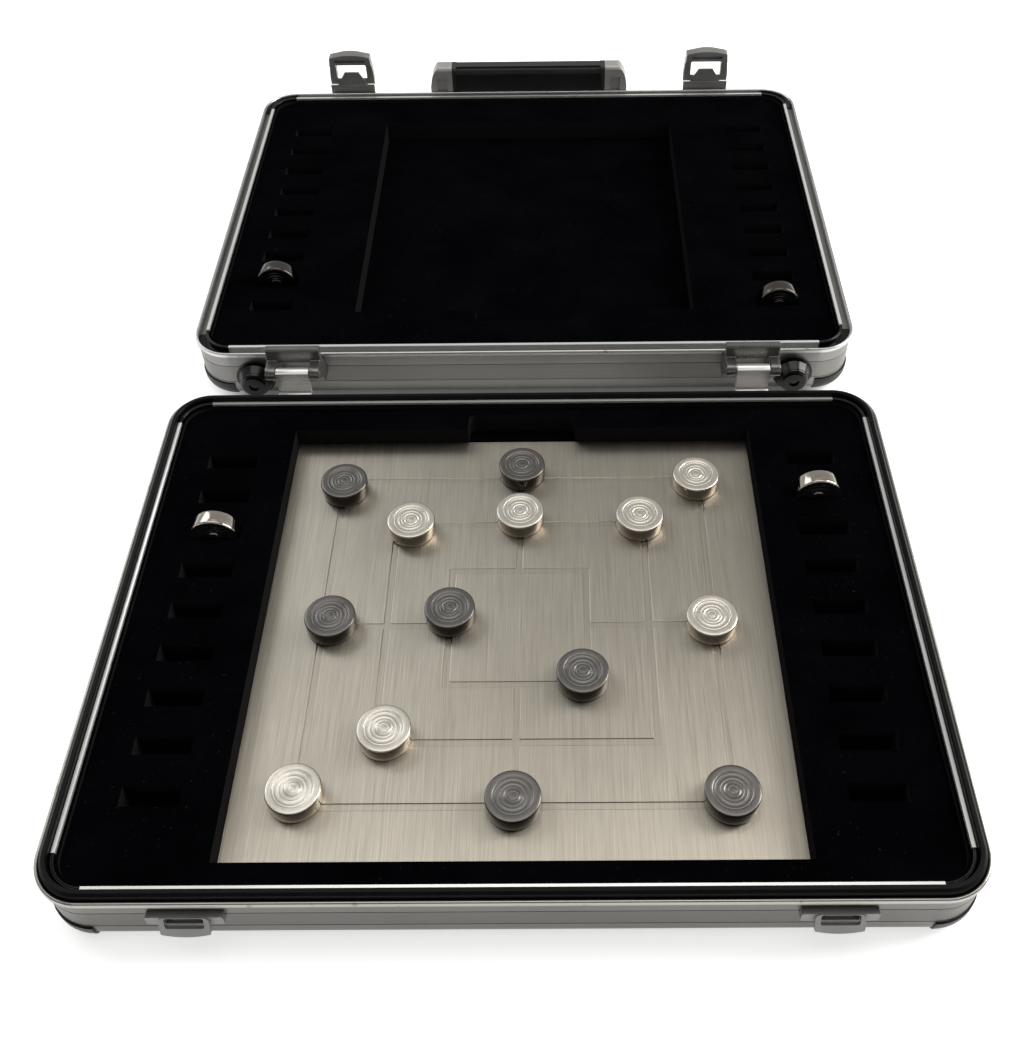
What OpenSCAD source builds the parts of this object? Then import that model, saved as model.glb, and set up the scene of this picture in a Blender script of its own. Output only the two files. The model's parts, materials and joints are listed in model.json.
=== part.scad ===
// Nine mens morris board that lives in a two-part aluminium case.
// The case lies open, both halves face up: the board half is towards -Y, the
// lid half towards +Y. Z = 0 is the table. Lengths are in millimetres.

/* [Case halves] */
// Width of a half over its rim beads
case_w = 457; // [440:1:480]
// Depth of a half over its rim beads
case_d = 343; // [334:1:370]
// Height of a half, from the table to the top of its rim
half_h = 42; // [40:1:50]
// Outer radius of the four corners, seen from above
corner_r = 26; // [22:1:34]
// Clear space between the two halves when the case lies open
open_gap = 39.5; // [39:0.5:46]
// Space left between the two rims when the case is shut
shut_gap = 0.4; // [0.2:0.1:1]
// Radius of the long lower edge of the frame
edge_r = 10; // [8:0.5:12]
// Wall of the frame
frame_t = 1.8; // [1.4:0.1:2.4]
// How far the top bead stands out past the side
bead_proud = 1.2; // [0.8:0.1:1.8]
// Sheet of the bottom and top panels
panel_t = 1.4; // [1:0.1:2]
// Height that the corner caps reach up the side
cap_h = 14; // [12:0.5:18]
// Wall of a corner cap
cap_t = 1; // [0.8:0.1:1.5]

/* [Rim] */
// From the middle of the bright lip to the outer face of the bead
rim_w = 8.3; // [8:0.1:9.5]
// Width of the bright lip strip
lip_t = 2.1; // [1.6:0.1:2.6]
// Width of the bead along the outer edge
bead_t = 2.1; // [1.6:0.1:2.4]
// Depth of the channel between the lip and the bead
channel_d = 5; // [4.5:0.1:6]
// How far the black sealing band rises above the rim
seal_rise = 3.4; // [2.4:0.1:3.8]
// Side clearance of the sealing band in the channel of the lid
seal_play = 0.4; // [0.3:0.05:0.6]

/* [Velvet trays] */
// Depth of the tray surface below the rim
tray_drop = 4.1; // [3.5:0.1:6]
// Width of the raised velvet border along the lip
border_t = 1.4; // [1:0.1:2.5]
// How far the border rises above the tray surface
border_rise = 2.6; // [1.5:0.1:3.2]
// Slots in each column
slot_count = 9; // [7:1:9]
// Distance from one slot to the next
slot_pitch = 28.55; // [26:0.05:30]
// Distance of a column of slots from the middle of the case
column_x = 181.3; // [178:0.1:186]
// Room on each side of a standing stone, across the slot
slot_play = 0.7; // [0.7:0.05:1]
// Room at each end of a standing stone, along the slot
slot_end_play = 0.8; // [0.5:0.05:1.2]
// Size of the booklet well in the lid, across the case
well_w = 241; // [200:1:300]
// Size of the booklet well in the lid, along the case
well_d = 249.5; // [200:0.5:256]
// Depth of the booklet well
well_depth = 16; // [8:0.5:24]
// How far the booklet well lies off the middle, away from the hinge
well_off = 2.3; // [0:0.1:6]
// Width of the finger notches
notch_w = 69; // [50:1:100]
// Depth of the finger notch beside the board, seen from above
board_notch_d = 13.1; // [9:0.1:15]
// Depth of the finger notch beside the booklet well, seen from above
well_notch_d = 11; // [9:0.1:15]
// Corner radius of the finger notches
notch_r = 5; // [3:0.5:8]

/* [Board] */
// Side of the square board plate
plate_side = 290; // [270:1:300]
// Thickness of the board plate
plate_t = 3; // [2:0.1:5]
// Depth of the plate's top below the rim
plate_drop = 15.9; // [15:0.1:20]
// Room around the plate in its well
plate_play = 0.25; // [0.15:0.05:1]
// How far the plate lies off the middle, away from the hinge
plate_off = 3.8; // [0:0.1:8]
// Side of the outer square of the game, along the middle of its line
ring_1 = 222; // [190:0.5:240]
// Side of the middle square of the game
ring_2 = 149.4; // [130:0.1:170]
// Side of the inner square of the game
ring_3 = 78.2; // [66:0.1:100]
// Width of a line cut into the plate
line_w = 3.9; // [2:0.1:5]
// Depth of a line cut into the plate
line_d = 0.6; // [0.3:0.1:1.5]

/* [Ribs of the outer panels] */
// Distance between two ribs
panel_rib_pitch = 32; // [28:0.5:34]
// Distance of a rib's end from the rim of the case
panel_rib_inset = 22; // [15:0.5:40]

/* [Stones] */
// Diameter of a stone
stone_d = 28.8; // [26:0.1:30]
// Thickness of a stone
stone_t = 9.6; // [8:0.1:10.5]
// Bevel along the edges of a stone
stone_bevel = 1; // [0.5:0.1:1.6]
// Radius of the sunk ring on each face
stone_sink_r = 10.4; // [8:0.1:11.2]
// Depth of the sunk ring
stone_sink_d = 0.5; // [0.3:0.1:1]
// Radius of the boss in the middle of each face
stone_boss_r = 3.6; // [2.5:0.1:4.2]

/* [Hinges] */
// Depth of the foot of a hinge bracket's legs below the rim
leg_low = 19; // [17:0.5:21]
// Distance of each hinge, latch and keeper from the outer end of the case
fitting_inset = 74.5; // [60:0.5:88]
// Radius of the rolled end of a strap
knuckle_r = 3.8; // [3.2:0.1:4.2]
// Diameter of a hinge pin
pin_d = 3.6; // [2.5:0.1:4.4]
// Running clearance of a pin in the part that turns on it, on the radius
pin_play = 0.05; // [0.02:0.01:0.1]
// Width of a strap
strap_w = 22; // [18:0.5:24]
// Thickness of a strap
strap_t = 2.8; // [2:0.1:3.2]
// Width of the hinge bracket on the lid
bracket_w = 36; // [34:0.5:42]
// Side clearance between a strap and each leg of its bracket
strap_play = 0.4; // [0.2:0.1:1]
// Height of the bracket's crown above the rim
crown_h = 13.6; // [11:0.1:14]
// Distance of the crown's front from the hinge axis
crown_front = 7.5; // [6:0.1:9]
// Sheet of the crown
crown_t = 2.4; // [1.8:0.1:3]

/* [Feet] */
// Distance of each rubber foot from the outer end of the case
foot_inset = 42.5; // [39:0.5:45]
// Diameter of a foot where it meets the case
foot_d = 27; // [24:0.5:28]
// Diameter of the front of a foot
foot_tip_d = 19; // [14:0.5:22]
// How far a foot stands out from the side
foot_out = 10.5; // [7:0.5:16]

/* [Latches] */
// Width of a latch lever
lever_w = 38; // [36:0.5:40]
// Reach of the lever above the rim
lever_h = 33; // [31:0.5:35]
// Width of the window in the lever
lever_window_w = 26; // [25.4:0.1:28]
// Height of the pivot of the lever above the rim
lever_pivot_h = 6; // [5:0.1:7]
// Width of the keeper loop on the board half
keeper_loop_w = 24; // [20:0.1:24.5]
// Width of the keeper bar
keeper_bar_w = 37; // [34:0.5:40]
// Thickness of the keeper bar
keeper_bar_t = 3.2; // [2.8:0.1:3.4]
// Height of the keeper bar
keeper_bar_h = 7.6; // [7:0.1:8]
// Length of the keeper loop below the top of its window
keeper_loop_l = 11.5; // [10.5:0.1:12]
// Radius of the loop's crowned lower edge
keeper_crown_r = 44; // [30:1:60]
// Sheet of the keeper loop and of the guide tongue
latch_sheet = 1.8; // [1.4:0.1:2]
// Width of the guide tongue of a latch
tongue_w = 22; // [20:0.5:23]
// Width of the tongue at its tip
tongue_tip_w = 12; // [8:0.5:16]
// Height of the tongue above the rim
tongue_h = 16; // [14:0.5:17]
// Radius of a lever's crowned top edge
lever_crown_r = 58; // [40:1:80]
// Radius of the curve across a lever's face
lever_face_r = 60; // [45:1:80]
// Height of the plate that fixes a latch to the side of the lid
latch_plate_h = 21; // [18:0.5:23]
// Thickness of that plate
latch_plate_t = 3; // [2.4:0.1:3.6]
// Depth of the lower edge of that plate below the rim
latch_plate_low = 26; // [24:0.5:28]
// Depth of the latch's shelf and of its tongue's root below the rim
latch_root = 12; // [10:0.5:14]
// Distance of each latch rivet from the middle of its latch
latch_rivet_x = 11; // [9:0.5:14]
// Depth of the latch rivets below the rim
latch_rivet_low = 20; // [17:0.5:22]

/* [Handle] */
// Height of each plate that fixes the handle to the side of the lid
mount_plate_h = 22; // [20:0.5:23]
// Length of the handle over its end pieces
handle_l = 171; // [150:1:190]
// Width of each end piece
handle_end_w = 19; // [17:0.5:22]
// Depth of an end piece, measured away from the case
handle_t = 14; // [12:0.5:16]
// Height of the handle above the rim
handle_h = 21; // [18:0.5:24]
// Height of the soft grip
grip_h = 24; // [20:0.5:26]
// Depth of the soft grip
grip_t = 15; // [12:0.5:17]
// Depth of the handle pivot below the rim
handle_pivot_drop = 19; // [17:0.5:21]
// Diameter of the handle pins
handle_pin_d = 4; // [3:0.1:5]
// Reach below the pivot of the slot that an end piece has for its mount
mount_slot_low = 8; // [7:0.5:9]
// Height of that slot
mount_slot_h = 15.5; // [14:0.5:17]
// Reach of that slot away from the case
mount_slot_d = 40; // [20:1:50]

/* [Hidden] */
$fn = 64;
eps = 0.01;

// Path of the lip: half sizes and corner radius of its middle line
lip_x = case_w / 2 - rim_w;
lip_y = case_d / 2 - rim_w;
lip_r = corner_r - rim_w;
// Face of the side, measured outwards from the lip line and from the middle
side_u = rim_w - bead_proud;
side_y = case_d / 2 - bead_proud;
// Heights of the frame
foot_gap = cap_t;
axis_z = half_h + shut_gap / 2;
channel_z = half_h - channel_d;
web_z = channel_z - frame_t;
flange_top = foot_gap + frame_t;
tray_floor = flange_top + panel_t;
tray_z = half_h - tray_drop;
tray_u = -lip_t / 2 - 0.3;
plate_z = half_h - plate_drop - plate_t;
slot_l = stone_d + 2 * slot_end_play;
slot_w = stone_t + 2 * slot_play;
slot_z = tray_z - stone_d / 2;
recess = plate_side + 2 * plate_play;
column_w = slot_l + 2 * 9;
tray_split = column_x - column_w / 2;
fitting_x = case_w / 2 - fitting_inset;
foot_x = case_w / 2 - foot_inset;

// Hinge: the axis lies midway between the halves, in the plane where they meet.
// Everything on the lid that passes the board half stays within reach_r of it.
half_y = (open_gap + case_d) / 2;
axis_out = open_gap / 2 + bead_proud;
reach_r = open_gap / 2 - 0.6;
crown_back = sqrt(reach_r * reach_r - crown_h * crown_h);
leg_w = (bracket_w - strap_w) / 2 - strap_play;
strap_top = -crown_h - 0.8;

// The whole part is moved so that its box is centred on the origin
handle_gap = 2.2;
loop_tilt = 20;
loop_root = keeper_bar_t - 1;
reach_near = bead_proud - loop_root - keeper_loop_l * sin(loop_tilt) - latch_sheet * cos(loop_tilt);
reach_far = handle_gap + max(handle_t, grip_t) + (handle_t - grip_t > 0 ? 0 : -0.5) - bead_proud;
shift_y = -(reach_far + reach_near) / 2;

// Latch lever, keeper and handle, measured out from the side
keeper_drop = 13.4;
loop_top = keeper_drop - 2.4;
loop_low = loop_top + keeper_loop_l * cos(loop_tilt);
tongue_out = keeper_bar_t + 2.2;
shelf = keeper_bar_t + 0.6;
lever_back = shelf;
lever_out = tongue_out + latch_sheet + 2.6;
barrel_w = lever_window_w - 0.6;
lever_low = loop_low + 2.2;

module rounded(w, d, r) {
    union() {
        square([w - 2 * r, d], center = true);
        square([w, d - 2 * r], center = true);
        for (x = [-1, 1], y = [-1, 1])
            translate([x * (w / 2 - r), y * (d / 2 - r)])
                circle(r);
    }
}

module slab(w, d, r, low, high) {
    translate([0, 0, low])
        linear_extrude(high - low)
            rounded(w, d, r);
}

// Sweeps a flat profile along the four straight sides of the lip path. In the
// profile, X points out of the case and Y points up.
module along_sides() {
    for (s = [0, 180]) {
        rotate([0, 0, s])
            translate([-(lip_x - lip_r), lip_y, 0])
                rotate([90, 0, 90])
                    linear_extrude(2 * (lip_x - lip_r))
                        children();
        rotate([0, 0, s + 90])
            translate([-(lip_y - lip_r), lip_x, 0])
                rotate([90, 0, 90])
                    linear_extrude(2 * (lip_y - lip_r))
                        children();
    }
}

// Sweeps the same profile round the four corners
module round_corners() {
    for (x = [0, 1], y = [0, 1])
        mirror([x, 0, 0])
            mirror([0, y, 0])
                translate([lip_x - lip_r, lip_y - lip_r, 0])
                    rotate_extrude(angle = 90)
                        translate([lip_r, 0])
                            children();
}

// Places a piece of the board half; its hinge side looks towards +Y
module at_base() {
    translate([0, shift_y - half_y, 0])
        children();
}

// Places a piece of the lid half, turned so that its hinge side looks to -Y
module at_lid() {
    translate([0, shift_y + half_y, 0])
        rotate([0, 0, 180])
            children();
}

// A quarter of a round sheet, below and outside its centre
module edge_arc(r, t) {
    intersection() {
        difference() {
            circle(r);
            circle(r - t);
        }
        translate([0, -r])
            square(r);
    }
}

module frame_profile() {
    union() {
        translate([side_u - frame_t, foot_gap + edge_r])
            square([frame_t, channel_z - foot_gap - edge_r]);
        translate([rim_w - bead_t, channel_z - 1])
            square([side_u - rim_w + bead_t, half_h - bead_t - channel_z + 1]);
        translate([side_u - edge_r, foot_gap + edge_r])
            edge_arc(edge_r, frame_t);
        translate([side_u - edge_r - 6, foot_gap])
            square([6, frame_t]);
        translate([rim_w - bead_t, half_h - 3.6])
            square([bead_t, 3.6 - bead_t / 2]);
        translate([rim_w - bead_t / 2, half_h - bead_t / 2])
            circle(bead_t / 2);
        translate([-lip_t / 2, web_z])
            square([side_u + lip_t / 2 - frame_t / 2, frame_t]);
    }
}

// Two fine lines run round the side
module side_lines() {
    for (z = [half_h - 12.5, foot_gap + edge_r + 4.5])
        translate([side_u - 0.25, z])
            square([1, 0.6]);
}

module frame() {
    difference() {
        union() {
            along_sides()
                frame_profile();
            round_corners()
                intersection() {
                    frame_profile();
                    translate([-lip_r, 0])
                        square([lip_r + side_u, half_h]);
                }
            round_corners()
                frame_profile();
        }
        along_sides()
            side_lines();
        round_corners()
            side_lines();
    }
}

module base_frame() {
    color("silver")
        at_base()
            frame();
}

module lid_frame() {
    color("silver")
        at_lid()
            frame();
}

module panel() {
    inset = edge_r - side_u + 2;
    union() {
        slab(2 * (lip_x - inset), 2 * (lip_y - inset), lip_r - inset, flange_top, tray_floor);
        for (k = [-4:4])
            translate([0, k * panel_rib_pitch, 0])
                rotate([0, 90, 0])
                    translate([-flange_top, 0, -lip_x + inset + panel_rib_inset])
                        difference() {
                            cylinder(r = 1.2, h = 2 * (lip_x - inset - panel_rib_inset));
                            translate([-3, -2, -1])
                                cube([3, 4, 2 * lip_x]);
                        }
    }
}

module base_panel() {
    color("lightgray")
        at_base()
            panel();
}

module lid_panel() {
    color("lightgray")
        at_lid()
            panel();
}

module cap_profile() {
    union() {
        translate([side_u - edge_r, foot_gap + edge_r])
            edge_arc(edge_r + cap_t, cap_t);
        translate([side_u, foot_gap + edge_r])
            square([cap_t, cap_h - foot_gap - edge_r]);
        translate([side_u - edge_r - 4, 0])
            square([4, cap_t]);
    }
}

module caps() {
    round_corners()
        cap_profile();
}

module base_caps() {
    color([0.09, 0.09, 0.1])
        at_base()
            caps();
}

module lid_caps() {
    color([0.09, 0.09, 0.1])
        at_lid()
            caps();
}

module lip_profile() {
    translate([-lip_t / 2, channel_z])
        square([lip_t, channel_d]);
}

module base_lip() {
    color("gainsboro")
        at_base()
            along_sides()
                lip_profile();
}

module lid_lip() {
    color("gainsboro")
        at_lid()
            along_sides()
                lip_profile();
}

// Moulded corner of the lip: two beads side by side
module corner_profile(width) {
    union() {
        translate([-lip_t / 2, channel_z])
            square([width, channel_d - 1]);
        for (x = [0.6, lip_t - 0.6])
            translate([x - lip_t / 2, half_h - 0.6])
                circle(0.6);
        translate([-lip_t / 2, half_h - 1.5])
            square([lip_t, 0.9]);
    }
}

module base_lip_corners() {
    color([0.12, 0.12, 0.13])
        at_base()
            round_corners()
                corner_profile(lip_t);
}

// In the lid the moulded corner also lines the channel
module lid_lip_corners() {
    color([0.12, 0.12, 0.13])
        at_lid()
            round_corners()
                union() {
                    corner_profile(lip_t);
                    translate([lip_t / 2 - eps, channel_z])
                        square([rim_w - bead_t - lip_t / 2 + eps, 0.8]);
                }
}

// Sealing band: a wide foot in the channel and a crowned ridge above the rim
module seal_profile() {
    in = lip_t / 2;
    out = rim_w - bead_t;
    polygon([[in, channel_z], [out, channel_z], [out, half_h - 1.4],
        [out - seal_play + 0.1, half_h - 0.9], [out - seal_play - 0.5, half_h + seal_rise * 0.65],
        [out - seal_play - 1.9, half_h + seal_rise], [in + seal_play + 0.5, half_h + seal_rise],
        [in + seal_play, half_h + seal_rise - 0.9], [in + seal_play, half_h - 0.6],
        [in, half_h - 1]]);
}

module base_seal() {
    color([0.13, 0.13, 0.14])
        at_base()
            union() {
                along_sides()
                    seal_profile();
                round_corners()
                    seal_profile();
            }
}

module tray_block(low, high) {
    slab(2 * (lip_x + tray_u), 2 * (lip_y + tray_u), lip_r + tray_u, low, high);
}

// The whole velvet block with its raised border
module tray_body() {
    b = 2 * border_t;
    difference() {
        tray_block(tray_floor, tray_z + border_rise);
        slab(2 * (lip_x + tray_u) - b, 2 * (lip_y + tray_u) - b,
            max(lip_r + tray_u - border_t, 1), tray_z, half_h);
    }
}

// Seen from above, the slots are centred in the half; each has room for half
// of a standing stone
module slots(side) {
    for (k = [0:slot_count - 1])
        translate([side * column_x, (k - (slot_count - 1) / 2) * slot_pitch, 0])
            translate([-slot_l / 2, -slot_w / 2, slot_z])
                cube([slot_l, slot_w, half_h]);
}

module tray_column(side) {
    difference() {
        intersection() {
            tray_body();
            translate([side > 0 ? tray_split : -lip_x - tray_split, -case_d / 2, 0])
                cube([lip_x, case_d, half_h]);
        }
        slots(side);
    }
}

module notch(depth, low) {
    union() {
        slab(notch_w, 2 * depth, notch_r, low, half_h);
        translate([-notch_w / 2, -depth, low])
            cube([notch_w, depth + 0, half_h - low]);
    }
}

module tray_centre() {
    intersection() {
        tray_body();
        translate([-tray_split, -case_d / 2, 0])
            cube([2 * tray_split, case_d, half_h]);
    }
}

module base_tray_left() {
    color([0.06, 0.06, 0.07])
        at_base()
            tray_column(-1);
}

module base_tray_right() {
    color([0.06, 0.06, 0.07])
        at_base()
            tray_column(1);
}

module base_tray_middle() {
    color([0.07, 0.07, 0.08])
        at_base()
            difference() {
                tray_centre();
                translate([-recess / 2, -plate_off - recess / 2, plate_z])
                    cube([recess, recess, half_h]);
                translate([0, recess / 2 - plate_off, 0])
                    notch(board_notch_d, plate_z);
            }
}

module lid_tray_left() {
    color([0.06, 0.06, 0.07])
        at_lid()
            tray_column(1);
}

module lid_tray_right() {
    color([0.06, 0.06, 0.07])
        at_lid()
            tray_column(-1);
}

module lid_tray_middle() {
    color([0.07, 0.07, 0.08])
        at_lid()
            difference() {
                tray_centre();
                translate([-well_w / 2, -well_off - well_d / 2, tray_z - well_depth])
                    cube([well_w, well_d, half_h]);
                translate([0, well_d / 2 - well_off, 0])
                    notch(well_notch_d, tray_z - well_depth);
            }
}

// The plate carries three squares and four lines that join their middles
module board_plate() {
    top = plate_z + plate_t;
    color([0.8, 0.78, 0.74])
        at_base()
            translate([0, -plate_off, 0])
                difference() {
                    translate([-plate_side / 2, -plate_side / 2, plate_z])
                        cube([plate_side, plate_side, plate_t]);
                    for (s = [ring_1, ring_2, ring_3])
                        difference() {
                            translate([-(s + line_w) / 2, -(s + line_w) / 2, top - line_d])
                                cube([s + line_w, s + line_w, line_d + 1]);
                            translate([-(s - line_w) / 2, -(s - line_w) / 2, top - line_d - 1])
                                cube([s - line_w, s - line_w, line_d + 3]);
                        }
                    for (a = [0:90:270])
                        rotate([0, 0, a])
                            translate([ring_3 / 2, -line_w / 2, top - line_d])
                                cube([(ring_1 - ring_3) / 2, line_w, line_d + 1]);
                }
}

// One stone lying flat, its lower face at Z = 0
module stone() {
    r = stone_d / 2;
    b = stone_bevel;
    t = stone_t;
    s = stone_sink_d;
    k = stone_boss_r;
    rotate_extrude()
        polygon([[0, s / 2], [k, s / 2], [k, 2 * s], [k + 0.9, 2 * s], [k + 0.9, s],
            [k + 1.6, s], [stone_sink_r, s], [stone_sink_r + 0.3, 0], [r - b, 0], [r, b],
            [r, t - b], [r - b, t], [stone_sink_r + 0.3, t], [stone_sink_r, t - s],
            [k + 1.6, t - s], [k + 0.9, t - s], [k + 0.9, t - 2 * s], [k, t - 2 * s],
            [k, t - s / 2], [0, t - s / 2]]);
}

// A stone on a point of the board: which square (1 to 3), the point's place on
// it (-1, 0 or 1 in X and Y) and how far the player set it off the point
module on_board(ring, px, py, dx, dy) {
    h = [ring_1, ring_2, ring_3][ring - 1] / 2;
    at_base()
        translate([px * h + dx, py * h + dy - plate_off, plate_z + plate_t])
            stone();
}

// A stone standing in a slot; slot 1 is the one nearest to the hinge
module in_slot(side, number) {
    translate([side * column_x, ((slot_count + 1) / 2 - number) * slot_pitch, tray_z])
        rotate([90, 0, 0])
            translate([0, 0, -stone_t / 2])
                stone();
}

module silver() {
    color([0.82, 0.82, 0.83])
        children();
}

module dark() {
    color([0.26, 0.26, 0.28])
        children();
}

module silver_stone_1() { silver() on_board(1, 1, 1, -2, -3.8); }
module silver_stone_2() { silver() on_board(2, -1, 1, 8.8, -3.2); }
module silver_stone_3() { silver() on_board(2, 0, 1, 0, 3.6); }
module silver_stone_4() { silver() on_board(2, 1, 1, -2.3, 0.3); }
module silver_stone_5() { silver() on_board(1, 1, 0, -1.8, -0.4); }
module silver_stone_6() { silver() on_board(2, -1, -1, 5.7, 3.5); }
module silver_stone_7() { silver() on_board(1, -1, -1, -0.5, 5.6); }
module silver_stone_8() { silver() at_base() in_slot(-1, 3); }
module silver_stone_9() { silver() at_base() in_slot(1, 2); }
module dark_stone_1() { dark() on_board(1, -1, 1, 1, -7.2); }
module dark_stone_2() { dark() on_board(1, 0, 1, 0.5, 5.5); }
module dark_stone_3() { dark() on_board(1, -1, 0, 4.9, 1); }
module dark_stone_4() { dark() on_board(3, -1, 0, 0.3, 6.2); }
module dark_stone_5() { dark() on_board(3, 1, -1, -3.3, 2.6); }
module dark_stone_6() { dark() on_board(1, 0, -1, -0.6, 0.8); }
module dark_stone_7() { dark() on_board(1, 1, -1, -1.2, 3.1); }
module dark_stone_8() { dark() at_lid() in_slot(1, 2); }
module dark_stone_9() { dark() at_lid() in_slot(-1, 1); }

// Places a fitting at both hinge positions of a half, with the side of the case
// at Y = 0, the outside towards +Y and the shut plane at Z = 0
module at_hinges() {
    for (x = [-fitting_x, fitting_x])
        translate([x, side_y, axis_z])
            children();
}

module at_latches() {
    for (x = [-fitting_x, fitting_x])
        translate([x, -side_y, axis_z])
            mirror([0, 1, 0])
                children();
}

// Rounded profile seen from the side, turned to lie across the case
module across(width) {
    translate([-width / 2, 0, 0])
        rotate([90, 0, 90])
            linear_extrude(width)
                children();
}

module x_rod(d, length) {
    rotate([0, 90, 0])
        cylinder(d = d, h = length, center = true);
}

// A rivet with a domed head that looks along +Y; its shank fills a plate
module rivet(sheet) {
    rotate([-90, 0, 0])
        union() {
            cylinder(d = 2.4, h = sheet + eps);
            translate([0, 0, sheet])
                rotate_extrude()
                    intersection() {
                        translate([0, -2])
                            circle(3);
                        square([3, 3]);
                    }
        }
}

module rivet_hole() {
    rotate([-90, 0, 0])
        translate([0, 0, -1])
            cylinder(d = 2.4, h = 8);
}

strap_sheet = 2;

// Strap on the board half: a riveted leaf, a plate that passes below the crown
// of the shut case, and a riser with a rolled end round the pin
module hinge_straps() {
    front = axis_out - knuckle_r;
    bend = 5;
    color("gainsboro")
        at_base()
            at_hinges()
                difference() {
                    union() {
                        translate([-strap_w / 2, 0, strap_top - 13])
                            cube([strap_w, strap_sheet, 13 - strap_t / 2]);
                        across(strap_w)
                            difference() {
                                union() {
                                    translate([0, strap_top - strap_t])
                                        square([front + strap_t - bend, strap_t]);
                                    translate([front + strap_t - bend, strap_top - strap_t + bend])
                                        edge_arc(bend, strap_t);
                                    translate([front, strap_top - strap_t + bend])
                                        square([strap_t, strap_t - bend - strap_top]);
                                    translate([axis_out, 0])
                                        circle(knuckle_r);
                                    translate([front, -1])
                                        square([knuckle_r, 3.8]);
                                }
                                translate([axis_out, 0])
                                    circle(pin_d / 2 + pin_play);
                            }
                    }
                    for (x = [-6.5, 6.5])
                        translate([x, 0, strap_top - 8.5])
                            rivet_hole();
                }
}

// Leg of the bracket, seen from the side: it stands on the side of the lid,
// reaches down to its foot and up to the crown, and holds the pin in its eye
module leg_profile() {
    back = axis_out - crown_back;
    front = axis_out - crown_front;
    eye = knuckle_r + 0.7;
    difference() {
        union() {
            polygon([[0, -leg_low], [0, -4.7], [bead_proud + 0.5, -4.3], [back, 2.5],
                [back, crown_h - 0.9], [back + 0.9, crown_h], [front - 0.9, crown_h],
                [front, crown_h - 0.9], [front, eye], [axis_out, eye], [axis_out, -eye],
                [axis_out - 7, -leg_low / 2], [9, -leg_low]]);
            translate([axis_out, 0])
                circle(eye);
        }
        translate([axis_out, 0])
            circle(d = pin_d);
    }
}

module hinge_brackets() {
    back = axis_out - crown_back;
    front = axis_out - crown_front;
    color("lightslategray")
        at_lid()
            at_hinges()
                union() {
                    for (x = [-1, 1])
                        translate([x * (bracket_w - leg_w) / 2, 0, 0])
                            across(leg_w)
                                leg_profile();
                    across(bracket_w - leg_w)
                        polygon([[back, crown_h - crown_t - 1], [back, crown_h - 0.9],
                            [back + 0.9, crown_h], [front - 0.9, crown_h], [front, crown_h - 0.9],
                            [front, 3], [front - crown_t, 3], [front - crown_t, crown_h - crown_t - 1]]);
                }
}

module hinge_pins() {
    color("gray")
        at_lid()
            at_hinges()
                translate([0, axis_out, 0])
                    x_rod(pin_d, bracket_w + 0.6);
}

// Rubber foot: a flange, a cone and a rounded front with a sunk middle
module foot() {
    r = foot_d / 2;
    q = foot_tip_d / 2;
    rotate([-90, 0, 0])
        rotate_extrude()
            difference() {
                union() {
                    square([r, 1.6]);
                    polygon([[0, 0], [r - 1, 0], [r - 1, 2.2], [q + 0.6, foot_out - 3], [0, foot_out - 3]]);
                    intersection() {
                        translate([q - 2.4, foot_out - 3])
                            circle(3);
                        translate([0, foot_out - 3.2])
                            square([r, 4]);
                    }
                    square([q - 2.4, foot_out]);
                }
                translate([0, foot_out - 1.4])
                    square([3.6, 2]);
            }
}

module feet() {
    for (x = [-foot_x, foot_x])
        translate([x, side_y, half_h - 22])
            foot();
}

module base_feet() {
    color([0.1, 0.1, 0.11])
        at_base()
            feet();
}

module lid_feet() {
    color([0.1, 0.1, 0.11])
        at_lid()
            feet();
}

// Outline of the keeper loop in its own plane, the top of its window near Y = 0
module loop_outline() {
    h = keeper_loop_l + 1;
    difference() {
        intersection() {
            translate([0, 1 - h / 2])
                rounded(keeper_loop_w, h, 3);
            translate([0, keeper_crown_r - keeper_loop_l])
                circle(keeper_crown_r, $fn = 128);
        }
        translate([0, 0.6 - (h - 5.9) / 2])
            rounded(keeper_loop_w - 5.3, h - 5.9, 1.4);
    }
}

// Keeper: a bar on the side of the case, and a loop that leans away from it over
// a pocket with a small boss
module keeper() {
    union() {
        difference() {
            translate([0, keeper_bar_t, -keeper_drop])
                rotate([90, 0, 0])
                    linear_extrude(keeper_bar_t)
                        rounded(keeper_bar_w, keeper_bar_h, 1.6);
            translate([-(keeper_loop_w - 5.3) / 2, 0.8, -keeper_drop - 2.8])
                cube([keeper_loop_w - 5.3, keeper_bar_t, 6]);
        }
        translate([-6.4, 0.7, -keeper_drop - 2.9])
            cube([12.8, 1.1, 2.6]);
        translate([0, loop_root, -loop_top])
            rotate([loop_tilt, 0, 0])
                translate([0, latch_sheet, 0])
                    rotate([90, 0, 0])
                        linear_extrude(latch_sheet)
                            loop_outline();
    }
}

module at_latch(side) {
    translate([side * fitting_x, -side_y, axis_z])
        mirror([0, 1, 0])
            children();
}

module keeper_left() {
    color("silver")
        at_base()
            at_latch(-1)
                keeper();
}

module keeper_right() {
    color("silver")
        at_base()
            at_latch(1)
                keeper();
}

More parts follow.
